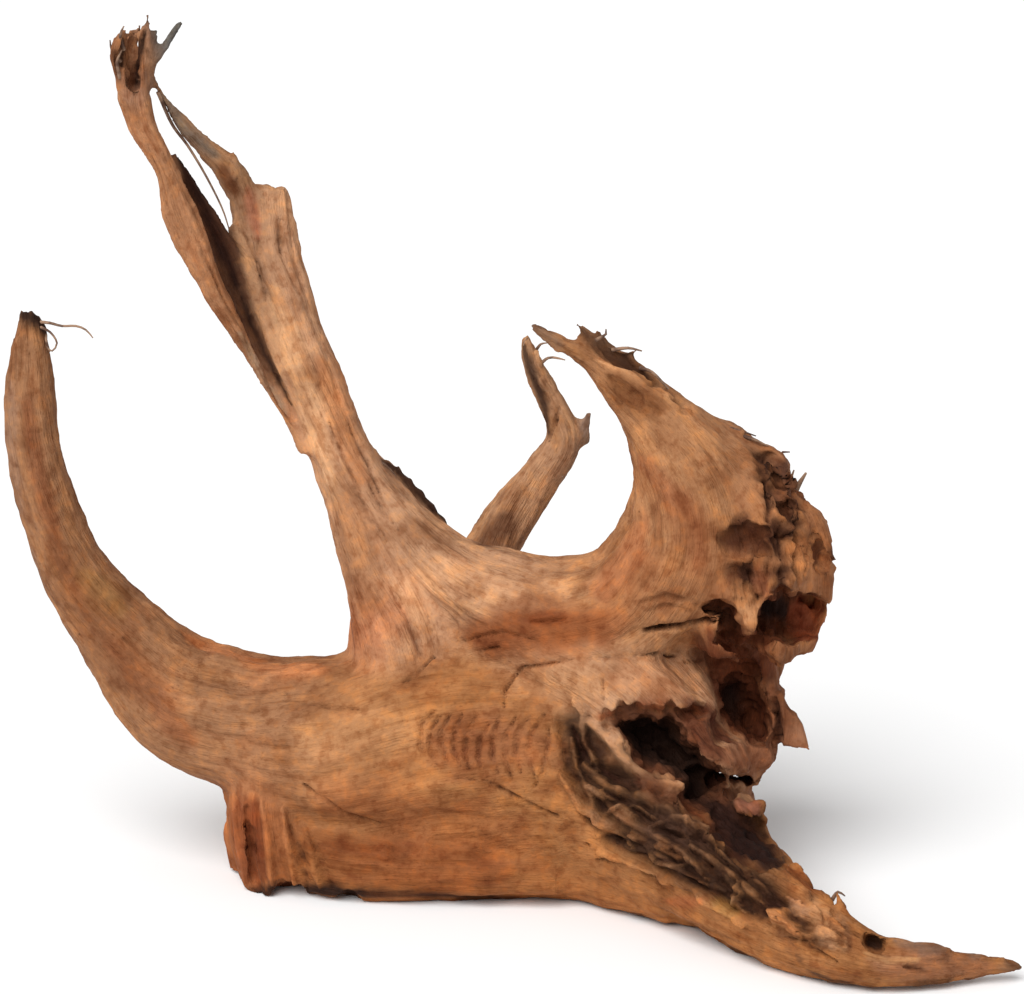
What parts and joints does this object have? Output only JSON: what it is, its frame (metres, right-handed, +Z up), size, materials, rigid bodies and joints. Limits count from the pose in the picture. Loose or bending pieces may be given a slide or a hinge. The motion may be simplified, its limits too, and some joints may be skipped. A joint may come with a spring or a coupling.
{
  "type": "mangrove root",
  "caption": "Weathered driftwood root in one piece: a thick flat-bottomed trunk with upright curved branches, a split upright, a rotten hollow and a tapering forward tail.",
  "frame": {"origin": "middle of the root's box at the level of its flat underside", "axes": "+X runs along the root's length towards the tip of its low tail, +Y away from the side that the tail reaches to, +Z up"},
  "size_m": [0.4039, 0.2125, 0.3565],
  "materials": {
    "bare_wood": "weathered matt"
  },
  "bodies": {
    "root": {"mangrove_root": "bare_wood"}
  },
  "joints": []
}
